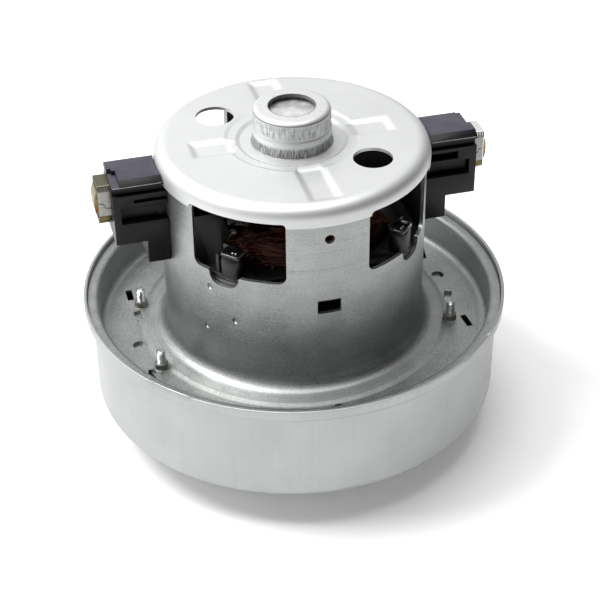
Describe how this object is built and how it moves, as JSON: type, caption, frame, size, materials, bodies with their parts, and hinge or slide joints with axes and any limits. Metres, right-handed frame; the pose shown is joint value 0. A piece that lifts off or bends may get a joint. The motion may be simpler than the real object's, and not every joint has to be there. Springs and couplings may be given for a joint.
{
  "type": "vacuum cleaner motor",
  "caption": "Through-flow vacuum cleaner motor: brushed universal motor in a drawn steel can on a wide round fan housing with intake underneath.",
  "frame": {"origin": "on the shaft's axis, in the plane of the intake face that the motor stands on", "axes": "+Z along the shaft towards the upper bearing's boss; X along the two carbon brushes"},
  "size_m": [0.135, 0.135, 0.1107],
  "materials": {
    "drum_steel": "satin zinc-coated sheet",
    "frame_steel": "grainy galvanised sheet",
    "cap_steel": "satin zinc-coated sheet",
    "disc_steel": "plain bright sheet",
    "spring_steel": "spring steel",
    "screw_steel": "zinc-plated steel",
    "bearing_steel": "ground steel",
    "shield_steel": "pressed steel",
    "impeller_aluminium": "pressed aluminium sheet",
    "diffuser_plastic": "moulded thermoset, matt",
    "lamination_steel": "stamped laminations, dark edges",
    "winding_copper": "enamelled copper wire",
    "commutator_copper": "bare copper, turned",
    "phenolic": "moulded phenolic",
    "black_moulding": "black moulded nylon",
    "holder_moulding": "black moulded thermoset, faint gloss",
    "tube_brass": "drawn brass",
    "tinned_steel": "tin-plated strip",
    "carbon": "pressed carbon"
  },
  "bodies": {
    "housing": {"fan_cover": "drum_steel", "motor_frame": "frame_steel", "end_cap": "cap_steel", "bearing_cover_disc": "disc_steel", "wave_washer": "spring_steel", "lower_bracket": "frame_steel", "diffuser": "diffuser_plastic", "flange_screws": "screw_steel", "field_core": "lamination_steel", "front_field_coil": "winding_copper", "rear_field_coil": "winding_copper", "upper_field_insulator": "black_moulding", "lower_field_insulator": "black_moulding", "field_terminals": "tinned_steel", "upper_bearing_outer_ring": "bearing_steel", "upper_bearing_shields": "shield_steel", "lower_bearing_outer_ring": "bearing_steel", "lower_bearing_shields": "shield_steel", "left_brush_holder": "holder_moulding", "left_brush_tube": "tube_brass", "left_brush_spring": "spring_steel", "left_brush_clip": "tinned_steel", "right_brush_holder": "holder_moulding", "right_brush_tube": "tube_brass", "right_brush_spring": "spring_steel", "right_brush_clip": "tinned_steel"},
    "rotor": {"impeller_back_disc": "impeller_aluminium", "impeller_shroud": "impeller_aluminium", "impeller_blades": "impeller_aluminium", "impeller_washer": "screw_steel", "impeller_nut": "screw_steel", "spacer_sleeve": "screw_steel", "shaft": "bearing_steel", "armature_core": "lamination_steel", "armature_windings": "winding_copper", "commutator_hub": "phenolic", "commutator_bars": "commutator_copper", "upper_bearing_inner_ring": "bearing_steel", "lower_bearing_inner_ring": "bearing_steel"},
    "left_brush": {"left_carbon_brush": "carbon"},
    "right_brush": {"right_carbon_brush": "carbon"}
  },
  "joints": [
    {"name": "rotor_spin", "type": "hinge", "parent": "housing", "child": "rotor", "pos_m": [0, 0, 0.05], "axis": [0, 0, 1], "continuous": true},
    {"name": "left_brush_slide", "type": "slide", "parent": "housing", "child": "left_brush", "axis": [-1, 0, 0], "range_m": [0, 0.008], "stiffness_N_per_m": 150, "springref_m": -0.02, "deforming": ["left_brush_spring"]},
    {"name": "right_brush_slide", "type": "slide", "parent": "housing", "child": "right_brush", "axis": [1, 0, 0], "range_m": [0, 0.008], "stiffness_N_per_m": 150, "springref_m": -0.02, "deforming": ["right_brush_spring"]}
  ]
}
